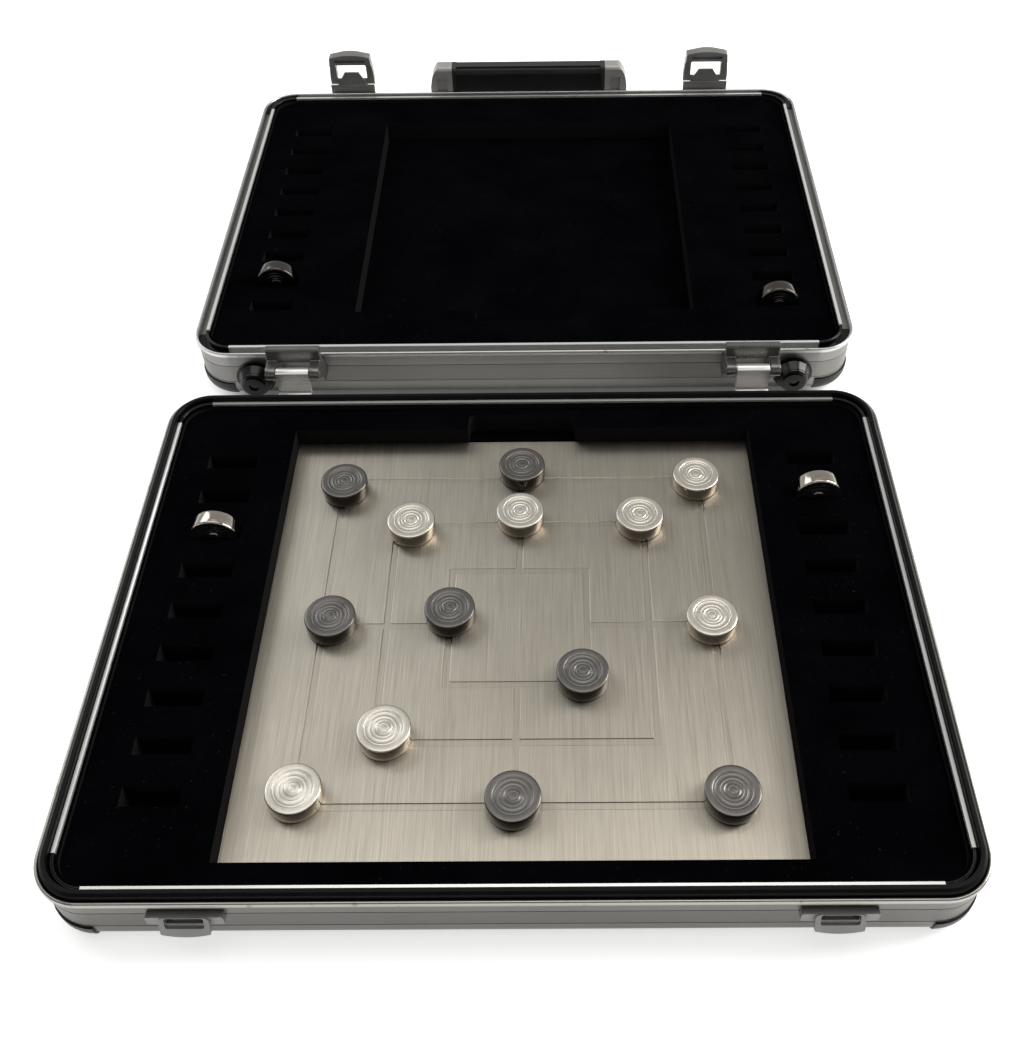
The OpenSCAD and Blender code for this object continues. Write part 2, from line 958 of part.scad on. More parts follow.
// Body of a latch: a plate on the side of the lid, a shelf that carries the
// guide tongue past the rim, and two ears for the pin of the lever
module latch_bodies() {
    color("lightslategray")
        at_lid()
            at_latches()
                difference() {
                    union() {
                        translate([-lever_w / 2, 0, -latch_plate_low])
                            cube([lever_w, latch_plate_t, latch_plate_h]);
                        translate([-lever_w / 2, shelf, -latch_root])
                            cube([lever_w, tongue_out - shelf, latch_root + lever_pivot_h - 0.8]);
                        translate([-lever_w / 2, latch_plate_t - 0.1, -latch_root])
                            cube([lever_w, shelf - latch_plate_t + 0.2, 5]);
                        translate([-barrel_w / 2, tongue_out + latch_sheet, -latch_root])
                            cube([barrel_w, lever_out - tongue_out - latch_sheet, latch_root]);
                        for (x = [-barrel_w / 2, tongue_w / 2])
                            translate([x, tongue_out - eps, -latch_root])
                                cube([(barrel_w - tongue_w) / 2, latch_sheet + 2 * eps, latch_root + 5]);
                        translate([0, lever_out, 0])
                            across(barrel_w)
                                union() {
                                    translate([latch_sheet - (lever_out - tongue_out), 0])
                                        square([2, lever_pivot_h]);
                                    difference() {
                                        translate([0, lever_pivot_h])
                                            circle(2.6);
                                        translate([-9 + latch_sheet - (lever_out - tongue_out), 0])
                                            square([9, 12]);
                                    }
                                }
                    }
                    translate([0, lever_out, lever_pivot_h])
                        x_rod(2.4, lever_w);
                    for (x = [-1, 1])
                        translate([x * latch_rivet_x, 0, -latch_rivet_low])
                            rivet_hole();
                }
}

// Guide tongue: it tapers so that the two halves find each other
module latch_tongues() {
    color("gray")
        at_lid()
            at_latches()
                union() {
                    translate([0, tongue_out + latch_sheet, 0])
                        rotate([90, 0, 0])
                            linear_extrude(latch_sheet)
                                polygon([[-tongue_w / 2, -latch_root], [tongue_w / 2, -latch_root],
                                    [tongue_w / 2, lever_pivot_h + 2], [tongue_tip_w / 2, tongue_h],
                                    [-tongue_tip_w / 2, tongue_h], [-tongue_w / 2, lever_pivot_h + 2]]);
                }
}

module latch_pins() {
    color("gray")
        at_lid()
            at_latches()
                translate([0, lever_out, lever_pivot_h])
                    x_rod(2.4, lever_w);
}

// Lever seen from the front: straight sides that draw in a little, crowned top
module lever_outline() {
    w = lever_w / 2;
    intersection() {
        polygon([[-w, 0], [w, 0], [w, 12], [w - 1.9, lever_h], [-w + 1.9, lever_h], [-w, 12]]);
        translate([0, lever_h - lever_crown_r])
            circle(lever_crown_r, $fn = 160);
    }
}

module latch_lever() {
    out = lever_out + 2.6;
    side_w = (lever_w - lever_window_w) / 2;
    low = lever_low;
    difference() {
        intersection() {
            union() {
                for (x = [-1, 1])
                    translate([x * (lever_w / 2 - side_w / 2), 0, 0])
                        across(side_w)
                            union() {
                                translate([lever_out, lever_pivot_h])
                                    circle(2.6);
                                polygon([[lever_out - 2.6, lever_pivot_h], [out, lever_pivot_h],
                                    [out + 0.6, 20], [out - 0.2, lever_h], [lever_back, lever_h],
                                    [lever_back, low - 1], [tongue_out + 0.8, low - 2]]);
                            }
                translate([-lever_w / 2 + 1, lever_back, low])
                    cube([lever_w - 2, out - lever_back, 2.2]);
                intersection() {
                    translate([-lever_w / 2 + 1, lever_back + 3, low])
                        cube([lever_w - 2, out + 1 - lever_back - 3, lever_h - low]);
                    translate([0, out + 0.6 - lever_face_r, 0])
                        cylinder(r = lever_face_r, h = lever_h + 10, $fn = 120);
                }
                translate([-lever_w / 2 + 1, lever_back, lever_h - 4])
                    cube([lever_w - 2, out - 0.4 - lever_back, 4]);
            }
            translate([0, out + 2, 0])
                rotate([90, 0, 0])
                    linear_extrude(out + 2)
                        lever_outline();
        }
        translate([0, lever_out, lever_pivot_h])
            x_rod(2.4 + 2 * pin_play, lever_w + 2);
    }
}

module latch_lever_left() {
    color("slategray")
        at_lid()
            at_latch(1)
                latch_lever();
}

module latch_lever_right() {
    color("slategray")
        at_lid()
            at_latch(-1)
                latch_lever();
}

// Handle: two end pieces on pins, and the grip between them
handle_axis = handle_gap + handle_t / 2;
mount_w = 8;
rail_t = 1.4;

module at_handle() {
    translate([0, -side_y, axis_z])
        mirror([0, 1, 0])
            children();
}

module handle_mounts() {
    color("darkgray")
        at_lid()
            at_handle()
                for (x = [-1, 1])
                    translate([x * (handle_l - handle_end_w) / 2, 0, -handle_pivot_drop])
                        difference() {
                            union() {
                                translate([-handle_end_w / 2, 0, -mount_plate_h / 2])
                                    cube([handle_end_w, 1.8, mount_plate_h]);
                                across(mount_w)
                                    difference() {
                                        union() {
                                            translate([0, -5])
                                                square([handle_axis, 10]);
                                            translate([handle_axis, 0])
                                                circle(5);
                                        }
                                        translate([handle_axis, 0])
                                            circle(d = handle_pin_d);
                                    }
                            }
                            for (s = [-1, 1])
                                translate([s * (handle_end_w / 2 - 3), 0, 8])
                                    rivet_hole();
                        }
}

module handle_pins() {
    color("gray")
        at_lid()
            at_handle()
                for (x = [-1, 1])
                    translate([x * (handle_l - handle_end_w) / 2, handle_axis, -handle_pivot_drop])
                        x_rod(handle_pin_d, handle_end_w - 1);
}

// Inner edge of an end piece: it leans towards the middle of the handle
function inner_x(z) = handle_l / 2 - handle_end_w
    - 4 * (z + handle_pivot_drop + 5.5) / (handle_h + handle_pivot_drop + 5.5);

// End piece seen from the front
module handle_end_outline() {
    w = handle_l / 2;
    foot = -handle_pivot_drop - 5.5;
    polygon([[inner_x(foot), foot], [w - 1, foot], [w, foot + 1], [w, handle_h - 17.4],
        [w - 1.1, handle_h - 11], [w - 2.1, handle_h - 7.6], [w - 3.4, handle_h - 4.8],
        [w - 4.7, handle_h - 2.7], [w - 6.2, handle_h - 1], [w - 8.1, handle_h],
        [inner_x(handle_h), handle_h]]);
}

module handle_end() {
    mid = (handle_l - handle_end_w) / 2;
    foot = -handle_pivot_drop + 11.4;
    difference() {
        intersection() {
            translate([0, handle_gap + handle_t, 0])
                rotate([90, 0, 0])
                    linear_extrude(handle_t)
                        handle_end_outline();
            translate([mid - 3, 0, 0])
                across(handle_end_w + 16)
                    union() {
                        translate([handle_axis, -handle_pivot_drop])
                            circle(5.4);
                        translate([handle_axis - 5.4, -handle_pivot_drop])
                            square([10.8, 16]);
                        translate([handle_gap + handle_t / 2, (handle_h + foot) / 2])
                            rounded(handle_t, handle_h - foot, 3);
                    }
        }
        translate([mid - mount_w / 2 - 0.3, 0, -handle_pivot_drop - mount_slot_low])
            cube([mount_w + 0.6, mount_slot_d, mount_slot_h]);
        translate([mid, handle_axis, -handle_pivot_drop])
            x_rod(handle_pin_d + 2 * pin_play, handle_end_w + 2);
        translate([mid - 5, handle_gap - 1, -1])
            cube([8.6, 3.4, 12.3]);
    }
}

// The two end pieces and the flat rail that joins them over the grip
module handle_ends() {
    color("lightslategray")
        at_lid()
            at_handle()
                union() {
                    for (x = [0, 1])
                        mirror([x, 0, 0])
                            handle_end();
                    across(2 * inner_x(handle_h) + 4)
                        translate([handle_gap + 3, handle_h - rail_t])
                            square([handle_t - 6, rail_t]);
                }
}

// Soft grip: a rounded bar whose ends lean with the end pieces
module handle_grip() {
    top = handle_h - rail_t;
    low = top - grip_h;
    color([0.08, 0.08, 0.09])
        at_lid()
            at_handle()
                intersection() {
                    across(handle_l)
                        translate([handle_gap - 0.5 + grip_t / 2, low + grip_h / 2])
                            rounded(grip_t, grip_h, 5);
                    translate([0, handle_gap + grip_t + 1, 0])
                        rotate([90, 0, 0])
                            linear_extrude(handle_gap + grip_t + 1)
                                polygon([[-inner_x(low), low], [inner_x(low), low],
                                    [inner_x(top), top], [-inner_x(top), top]]);
                }
}

module base_rivets() {
    color("dimgray")
        at_base()
            at_hinges()
                for (x = [-6.5, 6.5])
                    translate([x, 0, strap_top - 8.5])
                        rivet(strap_sheet);
}

module lid_rivets() {
    color("dimgray")
        at_lid()
            union() {
                at_latches()
                    for (x = [-1, 1])
                        translate([x * latch_rivet_x, 0, -latch_rivet_low])
                            rivet(latch_plate_t);
                at_handle()
                    for (x = [-1, 1], s = [-1, 1])
                        translate([x * (handle_l - handle_end_w) / 2 + s * (handle_end_w / 2 - 3), 0,
                            8 - handle_pivot_drop])
                            rivet(1.8);
            }
}

base_frame();
base_panel();
base_caps();
base_lip();
base_lip_corners();
base_seal();
base_tray_left();
base_tray_right();
base_tray_middle();
keeper_left();
keeper_right();
hinge_straps();
base_feet();
base_rivets();
lid_frame();
lid_panel();
lid_caps();
lid_lip();
lid_lip_corners();
lid_tray_left();
lid_tray_right();
lid_tray_middle();
hinge_brackets();
hinge_pins();
lid_feet();
latch_bodies();
latch_tongues();
latch_pins();
latch_lever_left();
latch_lever_right();
handle_mounts();
handle_pins();
handle_ends();
handle_grip();
lid_rivets();
board_plate();
silver_stone_1();
silver_stone_2();
silver_stone_3();
silver_stone_4();
silver_stone_5();
silver_stone_6();
silver_stone_7();
silver_stone_8();
silver_stone_9();
dark_stone_1();
dark_stone_2();
dark_stone_3();
dark_stone_4();
dark_stone_5();
dark_stone_6();
dark_stone_7();
dark_stone_8();
dark_stone_9();
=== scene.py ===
import bpy
import bmesh
import json
import math
from mathutils import Matrix, Vector

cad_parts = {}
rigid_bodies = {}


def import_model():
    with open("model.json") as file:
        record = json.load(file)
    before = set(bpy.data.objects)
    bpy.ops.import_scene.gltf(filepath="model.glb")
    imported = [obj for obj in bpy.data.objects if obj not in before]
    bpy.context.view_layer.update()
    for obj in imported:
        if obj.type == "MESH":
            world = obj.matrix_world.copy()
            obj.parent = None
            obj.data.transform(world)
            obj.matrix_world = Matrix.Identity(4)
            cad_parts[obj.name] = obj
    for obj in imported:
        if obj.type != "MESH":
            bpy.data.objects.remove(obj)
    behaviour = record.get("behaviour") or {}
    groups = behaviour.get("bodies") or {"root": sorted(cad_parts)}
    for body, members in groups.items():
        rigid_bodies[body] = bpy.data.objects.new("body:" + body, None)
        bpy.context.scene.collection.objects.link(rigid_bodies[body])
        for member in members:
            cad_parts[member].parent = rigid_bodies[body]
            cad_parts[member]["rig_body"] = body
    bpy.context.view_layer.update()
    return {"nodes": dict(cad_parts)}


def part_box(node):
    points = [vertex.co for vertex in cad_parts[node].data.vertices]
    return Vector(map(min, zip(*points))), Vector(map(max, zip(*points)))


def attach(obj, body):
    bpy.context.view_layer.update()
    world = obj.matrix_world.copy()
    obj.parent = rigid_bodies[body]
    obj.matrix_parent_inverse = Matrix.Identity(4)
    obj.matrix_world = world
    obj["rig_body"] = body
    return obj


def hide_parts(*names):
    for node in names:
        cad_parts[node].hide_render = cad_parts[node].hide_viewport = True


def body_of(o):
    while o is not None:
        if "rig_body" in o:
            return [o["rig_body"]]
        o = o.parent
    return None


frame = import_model()
NODES = frame["nodes"]
S = bpy.context.scene
MM = 0.001

# Camera: fitted to the photograph by least squares. CAMERA_TURN is a rotation vector to axes
# with y down and z forward; lengths are in metres and picture measures in pixels.
CAMERA_TURN = (2.3915, -0.0065, -0.0119)
CAMERA_PLACE = (0.02388, -0.59606, 0.5849)
PICTURE_W, PICTURE_H = 1024.0, 1039.0
FOCAL_LENGTH = 1196.1
CENTRE_X, CENTRE_Y = 551.0, 465.1
SENSOR_MM = 36.0


def make_camera():
    turn = Vector(CAMERA_TURN)
    r = Matrix.Rotation(turn.length, 3, turn.normalized())
    m = Matrix.Identity(4)
    for i, sign in enumerate((1, -1, -1)):
        for k in range(3):
            m[k][i] = sign * r[i][k]
    m.translation = Vector(CAMERA_PLACE)
    data = bpy.data.cameras.new("photo_camera")
    cam = bpy.data.objects.new("photo_camera", data)
    S.collection.objects.link(cam)
    cam.matrix_world = m
    data.sensor_fit = "AUTO"
    data.sensor_width = SENSOR_MM
    data.lens = FOCAL_LENGTH * SENSOR_MM / PICTURE_H
    data.shift_x = (PICTURE_W / 2 - CENTRE_X) / PICTURE_H
    data.shift_y = (CENTRE_Y - PICTURE_H / 2) / PICTURE_H
    data.clip_start = 0.01
    data.clip_end = 50.0
    S.camera = cam


make_camera()


# Node helpers
class Net:
    """A small wrapper round the node tree of a material or of the world."""

    def __init__(self, owner, end="Principled BSDF"):
        owner.use_nodes = True
        self.owner = owner
        self.t = owner.node_tree
        self.b = self.t.nodes[end]

    def add(self, kind, **values):
        n = self.t.nodes.new(kind)
        for k, v in values.items():
            setattr(n, k, v)
        return n

    def link(self, a, b):
        self.t.links.new(a, b)

    def set(self, **values):
        for k, v in values.items():
            self.b.inputs[k.replace("_", " ")].default_value = v

    def coords(self, *scale, loc=(0, 0, 0)):
        """Object coordinates, scaled by one number or by one for each axis."""
        c = self.add("ShaderNodeTexCoord")
        m = self.add("ShaderNodeMapping")
        m.inputs["Scale"].default_value = scale * 3 if len(scale) == 1 else scale
        m.inputs["Location"].default_value = loc
        self.link(c.outputs["Object"], m.inputs["Vector"])
        return m.outputs["Vector"]

    def split(self, kind):
        """The x, y and z of one kind of texture coordinate."""
        c = self.add("ShaderNodeTexCoord")
        s = self.add("ShaderNodeSeparateXYZ")
        self.link(c.outputs[kind], s.inputs[0])
        return s.outputs

    def noise(self, vec, detail, rough):
        n = self.add("ShaderNodeTexNoise")
        n.inputs["Scale"].default_value = 1.0
        n.inputs["Detail"].default_value = detail
        n.inputs["Roughness"].default_value = rough
        self.link(vec, n.inputs["Vector"])
        return n.outputs["Fac"]

    def ramp(self, fac, stops):
        n = self.add("ShaderNodeValToRGB")
        e = n.color_ramp.elements
        while len(e) < len(stops):
            e.new(0.5)
        for el, (p, c) in zip(e, stops):
            el.position = p
            el.color = (c[0], c[1], c[2], 1.0)
        self.link(fac, n.inputs["Fac"])
        return n.outputs["Color"]

    def remap(self, fac, a, b, c, d):
        """From the range a to b to the range c to d, held at its ends."""
        n = self.add("ShaderNodeMapRange")
        for k, v in (("From Min", a), ("From Max", b), ("To Min", c), ("To Max", d)):
            n.inputs[k].default_value = v
        self.link(fac, n.inputs["Value"])
        return n.outputs["Result"]

    def vary(self, noise, low, high):
        """A noise, which lies mostly between 0.3 and 0.7, as a value from low to high."""
        return self.remap(noise, 0.3, 0.7, low, high)

    def clouds(self, noise, most):
        """How far the crests of a noise count, from 0 to most."""
        return self.remap(noise, 0.35, 0.7, 0.0, most)

    def walls(self, most):
        """Faces that stand upright count most, flat ones 0."""
        return self.remap(self.math("ABSOLUTE", self.split("Normal")[2]), 0.3, 0.5, most, 0.0)

    def math(self, op, a, b=None, c=None):
        n = self.add("ShaderNodeMath", operation=op)
        for i, v in enumerate((a, b, c)):
            if v is None:
                continue
            if isinstance(v, (int, float)):
                n.inputs[i].default_value = v
            else:
                self.link(v, n.inputs[i])
        return n.outputs[0]

    def blend(self, a, b, share):
        """Two noises in one, with the given share of the second."""
        return self.math("MULTIPLY_ADD", b, share, self.math("MULTIPLY", a, 1.0 - share))

    def mix(self, fac, a, b):
        n = self.add("ShaderNodeMix", data_type="RGBA")
        for sock, v in ((n.inputs[0], fac), (n.inputs[6], a), (n.inputs[7], b)):
            if isinstance(v, tuple):
                sock.default_value = (v[0], v[1], v[2], 1.0)
            else:
                self.link(v, sock)
        return n.outputs[2]

    def bump(self, height, strength, distance, normal=None):
        n = self.add("ShaderNodeBump")
        n.inputs["Strength"].default_value = strength
        n.inputs["Distance"].default_value = distance
        self.link(height, n.inputs["Height"])
        if normal is not None:
            self.link(normal, n.inputs["Normal"])
        return n.outputs["Normal"]

    def out(self, color, rough, normal):
        self.link(color, self.b.inputs["Base Color"])
        self.link(rough, self.b.inputs["Roughness"])
        self.link(normal, self.b.inputs["Normal"])
        return self.owner


def material(name):
    return Net(bpy.data.materials.new(name))


def tint(color, *factors):
    """A colour times one factor, or times one for each channel."""
    return tuple(v * f for v, f in zip(color, factors * 3 if len(factors) == 1 else factors))


# Materials. Scales of the noises are in cycles per metre, depths of the bumps in metres.
def brushed(name, dark, light, streak, rough, bump=0.12, smudge=0.06, metallic=1.0):
    """Brushed metal: fine streaks in the directions where streak is small."""
    n = material(name)
    n.set(Metallic=metallic)
    fine = n.noise(n.coords(*streak), 4.0, 0.65)
    broad = n.noise(n.coords(*tint(streak, 0.22)), 2.0, 0.5)
    cloud = n.noise(n.coords(14), 3.0, 0.5)
    line = n.blend(fine, broad, 0.3)
    col = n.ramp(line, [(0.32, dark), (0.68, light)])
    col = n.mix(n.clouds(cloud, smudge), col, tint(dark, 0.72))
    r = n.math("ADD", n.vary(line, *rough), n.vary(cloud, -0.03, 0.04))
    return n.out(col, r, n.bump(line, bump, 0.0004))


def framed(name, dark, light, edge):
    """Brushed frame with a darker middle band, and a brighter bead and channel at its top."""
    band_low, band_high, bead_low = 0.36, 0.69, 0.93
    n = material(name)
    n.set(Metallic=1.0)
    fine = n.noise(n.coords(3, 3, 1700), 4.0, 0.65)
    broad = n.noise(n.coords(5, 5, 420), 2.0, 0.5)
    cloud = n.noise(n.coords(12), 4.0, 0.55)
    nick = n.noise(n.coords(160), 2.0, 0.5)
    line = n.blend(fine, broad, 0.35)
    col = n.ramp(line, [(0.32, dark), (0.68, light)])
    col = n.mix(n.clouds(cloud, 0.25), col, tint(dark, 0.8))
    height = n.split("Generated")[2]
    band = n.math("MULTIPLY", n.math("GREATER_THAN", height, band_low),
                  n.math("LESS_THAN", height, band_high))
    col = n.mix(n.math("MULTIPLY", band, 0.5), col, tint(dark, 0.7, 0.693, 0.651))
    top = n.remap(height, bead_low - 0.012, bead_low + 0.012, 0.0, 1.0)
    nicked = n.mix(n.remap(nick, 0.66, 0.74, 0.0, 0.6), edge, tint(edge, 0.4))
    col = n.mix(top, col, nicked)
    r = n.math("ADD", n.vary(line, 0.30, 0.44), n.vary(cloud, -0.03, 0.04))
    r = n.math("SUBTRACT", r, n.math("MULTIPLY", top, 0.08))
    return n.out(col, r, n.bump(line, 0.12, 0.0004))


def painted(name, color, rough, metallic=0.45, dark_within=0.0):
    """Cast metal with a silver-grey coat, softly worn; black within a distance of x = 0."""
    n = material(name)
    n.set(Metallic=metallic)
    grain = n.noise(n.coords(900), 3.0, 0.6)
    cloud = n.noise(n.coords(45), 4.0, 0.6)
    col = n.mix(n.clouds(cloud, 1.0), tint(color, 0.9), tint(color, 1.12))
    col = n.mix(n.remap(grain, 0.62, 0.8, 0.0, 0.2), col, tint(color, 0.7))
    if dark_within:
        far = n.math("GREATER_THAN", n.math("ABSOLUTE", n.split("Object")[0]), dark_within)
        col = n.mix(far, tint(color, 0.1), col)
    r = n.math("ADD", n.vary(grain, rough - 0.05, rough + 0.06), n.vary(cloud, -0.03, 0.03))
    return n.out(col, r, n.bump(grain, 0.03, 0.0002))


def satin(name, color, rough):
    """Plated metal with a fine even grain and slightly lighter worn areas."""
    n = material(name)
    n.set(Metallic=1.0)
    grain = n.noise(n.coords(2600), 2.0, 0.6)
    cloud = n.noise(n.coords(40), 4.0, 0.6)
    col = n.mix(n.clouds(cloud, 1.0), tint(color, 0.93), tint(color, 1.15))
    r = n.math("ADD", n.vary(grain, rough - 0.04, rough + 0.05), n.vary(cloud, -0.03, 0.03))
    return n.out(col, r, n.bump(grain, 0.05, 0.0002))


def plastic(name, color, rough, scale, bump=0.18, specular=0.3):
    """Moulded plastic or rubber with a fine grain, dust and slight sheen changes."""
    n = material(name)
    n.set(Specular_IOR_Level=specular)
    grain = n.noise(n.coords(scale), 2.0, 0.55)
    dust = n.noise(n.coords(55), 4.0, 0.6)
    col = n.mix(n.remap(dust, 0.4, 0.75, 0.0, 1.0), color, tint(color, 1.6))
    r = n.math("ADD", n.vary(grain, rough - 0.06, rough + 0.08), n.vary(dust, -0.04, 0.05))
    return n.out(col, r, n.bump(grain, bump, 0.0003))


def velvet(name):
    """Black pile with a soft nap, a few tiny fibres, and paler where it is cut at the walls."""
    n = material(name)
    n.set(Sheen_Weight=0.006, Sheen_Roughness=0.5, Specular_IOR_Level=0.0)
    n.set(Sheen_Tint=(0.6, 0.64, 0.8, 1.0))
    pile = n.noise(n.coords(2300), 3.0, 0.7)
    nap = n.noise(n.coords(22, 30, 22), 4.0, 0.62)
    lint = n.noise(n.coords(700, loc=(3, 5, 7)), 1.0, 0.5)
    col = n.ramp(nap, [(0.3, (0.0007, 0.0008, 0.0012)), (0.72, (0.0026, 0.0028, 0.0040))])
    col = n.mix(n.remap(pile, 0.35, 0.75, 0.0, 0.6), col, (0.0003, 0.0003, 0.0004))
    col = n.mix(n.remap(lint, 0.74, 0.80, 0.0, 0.3), col, (0.05, 0.05, 0.055))
    cut = n.mix(n.clouds(pile, 1.0), (0.006, 0.006, 0.0062), (0.022, 0.021, 0.021))
    col = n.mix(n.walls(0.85), col, cut)
    soft = n.bump(nap, 0.25, 0.002)
    return n.out(col, n.vary(nap, 0.85, 1.0), n.bump(pile, 0.6, 0.0006, soft))


def stone(name, axes, dark, light, rough):
    """Turned metal: fine tool marks round the last of the axes, and a polished outer edge coloured darker
    and warmer, a painted reflection of the board.
    """
    boss_r, rim_from, rim_to, rim_waves = 0.08, 0.482, 0.492, 44.0
    n = material(name)
    n.set(Metallic=1.0)
    place = n.split("Generated")
    a, b = (n.math("SUBTRACT", place[i], 0.5) for i in axes[:2])
    along = place[axes[2]]
    d = n.math("SQRT", n.math("ADD", n.math("MULTIPLY", a, a), n.math("MULTIPLY", b, b)))
    marks = n.add("ShaderNodeCombineXYZ")
    n.link(n.math("MULTIPLY", d, 150.0), marks.inputs[0])
    n.link(n.math("MULTIPLY", along, 9.0), marks.inputs[1])
    rings = n.noise(marks.outputs[0], 3.0, 0.6)
    spot = n.noise(n.coords(260), 4.0, 0.6)
    grit = n.noise(n.coords(1300), 2.0, 0.6)
    middle = n.math("LESS_THAN", d, boss_r)
    line = n.math("MULTIPLY_ADD", rings, 0.5, n.math("MULTIPLY", n.math("MULTIPLY", grit, middle), 0.7))
    col = n.ramp(rings, [(0.3, dark), (0.72, light)])
    col = n.mix(n.remap(spot, 0.5, 0.8, 0.0, 0.25), col, tint(dark, 0.75))
    rim_polish_and_painted_reflection = n.remap(d, rim_from, rim_to, 0.0, 1.0)
    # Painted reflection: the polished outer edge is coloured darker and warmer, as if it mirrored the
    # board; its lower roughness below is the real polish.
    col = n.mix(n.math("MULTIPLY", rim_polish_and_painted_reflection, 0.55), col, tint(dark, 0.62, 0.52, 0.45))
    r = n.math("ADD", n.vary(rings, *rough), n.vary(spot, -0.03, 0.04))
    wave = n.math("SINE", n.math("MULTIPLY", along, rim_waves))
    polish = n.remap(wave, -1.0, 1.0, 0.60, 0.7125)
    r = n.math("MULTIPLY", r, n.math("SUBTRACT", 1.0, n.math("MULTIPLY", rim_polish_and_painted_reflection, polish)))
    return n.out(col, r, n.bump(line, 0.5, 0.00034))


def board(name):
    """Brushed board: fine lines along Y, with painted shade making the walls and floors of the cut lines
    darker.
    """
    floor_high = 0.93
    n = material(name)
    n.set(Metallic=1.0, Anisotropic=0.75)
    fine = n.noise(n.coords(2600, 28, 28), 3.0, 0.65)
    broad = n.noise(n.coords(600, 9, 9), 2.0, 0.5)
    cloud = n.noise(n.coords(9, 7, 9), 5.0, 0.6)
    line = n.blend(fine, broad, 0.12)
    col = n.ramp(line, [(0.34, (0.41, 0.376, 0.323)), (0.66, (0.57, 0.531, 0.462))])
    col = n.mix(n.clouds(cloud, 0.55), col, (0.31, 0.284, 0.243))
    # Painted shade: the floors of the cut lines, below floor_high, are coloured a little darker.
    groove_floor_shade = n.math("LESS_THAN", n.split("Generated")[2], floor_high)
    col = n.mix(n.math("MULTIPLY", groove_floor_shade, 0.10), col, (0.25, 0.225, 0.19))
    # Painted shade: the upright walls of the cut lines are coloured darker.
    col = n.mix(n.walls(1.0), col, (0.30, 0.275, 0.23))
    across = n.add("ShaderNodeVectorTransform", vector_type="VECTOR",
                   convert_from="OBJECT", convert_to="WORLD")
    across.inputs[0].default_value = (1.0, 0.0, 0.0)
    n.link(across.outputs[0], n.b.inputs["Tangent"])
    r = n.math("ADD", n.vary(line, 0.34, 0.42), n.vary(cloud, -0.03, 0.03))
    return n.out(col, r, n.bump(line, 0.17, 0.0003))


def grey(v):
    return (v, v, v)


# The stones' axes: two across the stone and, last, the one about which it was turned
FLAT, UPRIGHT = (0, 1, 2), (0, 2, 1)
# Half the length of the handle's black rail, in metres
RAIL_HALF = 0.0664

M = {
    # Painted shade and light: the base frame and the lid frame are the same brushed aluminium, but the
    # base's copy is coloured darker and the lid's lighter, for how each half is lit.
    "frame": framed("brushed_frame", (0.125, 0.123, 0.117), (0.185, 0.182, 0.173), (0.40, 0.39, 0.365)),
    "lid_frame": framed("brushed_lid", (0.23, 0.228, 0.221), (0.34, 0.337, 0.328), grey(0.62)),
    "panel": brushed("panel_metal", (0.26, 0.26, 0.255), (0.38, 0.38, 0.372), (3, 900, 900), (0.34, 0.48)),
    "strip": brushed("bright_strip", grey(0.82), grey(0.96), (6, 6, 1500), (0.18, 0.28), 0.05, 0.02, 0.7),
    "plate": board("board_metal"),
    "keeper": painted("keeper_metal", (0.20, 0.20, 0.197), 0.40, 0.35),
    "strap": brushed("strap_metal", (0.74, 0.73, 0.715), (0.88, 0.87, 0.86), (4, 1400, 1400), (0.22, 0.32),
                     0.05, 0.02, 0.75),
    "bracket": painted("bracket_metal", (0.19, 0.189, 0.185), 0.30, 0.85),
    "lever": painted("lever_metal", (0.25, 0.248, 0.24), 0.38),
    "handle": painted("handle_metal", (0.42, 0.416, 0.405), 0.42, dark_within=RAIL_HALF),
    "pin": satin("pin_steel", grey(0.40), 0.28),
    "cap": plastic("cap_plastic", (0.006, 0.006, 0.0065), 0.36, 900),
    "corner": plastic("corner_plastic", (0.002, 0.002, 0.0023), 0.20, 700, 0.06),
    "seal": plastic("seal_rubber", (0.0016, 0.0016, 0.0019), 0.34, 600, 0.1, 0.13),
    "foot": plastic("foot_rubber", (0.002, 0.002, 0.0022), 0.15, 700, 0.06, 0.4),
    "grip": plastic("grip_rubber", (0.008, 0.008, 0.0085), 0.40, 1800, 0.3),
    "velvet": velvet("velvet"),
    "silver_flat": stone("stone_silver_flat", FLAT, (0.57, 0.54, 0.485), (0.75, 0.715, 0.65), (0.26, 0.35)),
    "silver_up": stone("stone_silver_up", UPRIGHT, (0.55, 0.53, 0.49), (0.75, 0.73, 0.68), (0.16, 0.26)),
    "dark_flat": stone("stone_dark_flat", FLAT, (0.125, 0.12, 0.116), (0.205, 0.197, 0.19), (0.25, 0.34)),
    "dark_up": stone("stone_dark_up", UPRIGHT, (0.13, 0.124, 0.12), (0.21, 0.20, 0.195), (0.18, 0.26)),
}

LOOK = {
    "base_frame": "frame", "lid_frame": "lid_frame", "base_panel": "panel", "lid_panel": "panel",
    "base_caps": "cap", "lid_caps": "cap", "base_lip": "strip", "lid_lip": "strip",
    "base_lip_corners": "corner", "lid_lip_corners": "corner", "base_seal": "seal",
    "keeper_left": "keeper", "keeper_right": "keeper", "hinge_straps": "strap",
    "base_feet": "foot", "lid_feet": "foot", "base_rivets": "pin", "lid_rivets": "pin",
    "hinge_brackets": "bracket", "hinge_pins": "pin", "latch_bodies": "lever",
    "latch_tongues": "lever", "latch_pins": "pin", "latch_lever_left": "lever",
    "latch_lever_right": "lever", "handle_mounts": "lever", "handle_pins": "pin",
    "handle_ends": "handle", "handle_grip": "grip", "board_plate": "plate",
}
# The stones that stand on edge in the slots
STANDING = ("silver_stone_8", "silver_stone_9", "dark_stone_8", "dark_stone_9")


def look_of(name):
    if "tray" in name:
        return "velvet"
    if "stone" in name:
        return name.split("_")[0] + ("_up" if name in STANDING else "_flat")
    return LOOK[name]


for name, node in NODES.items():
    node.data.materials.clear()
    node.data.materials.append(M[look_of(name)])


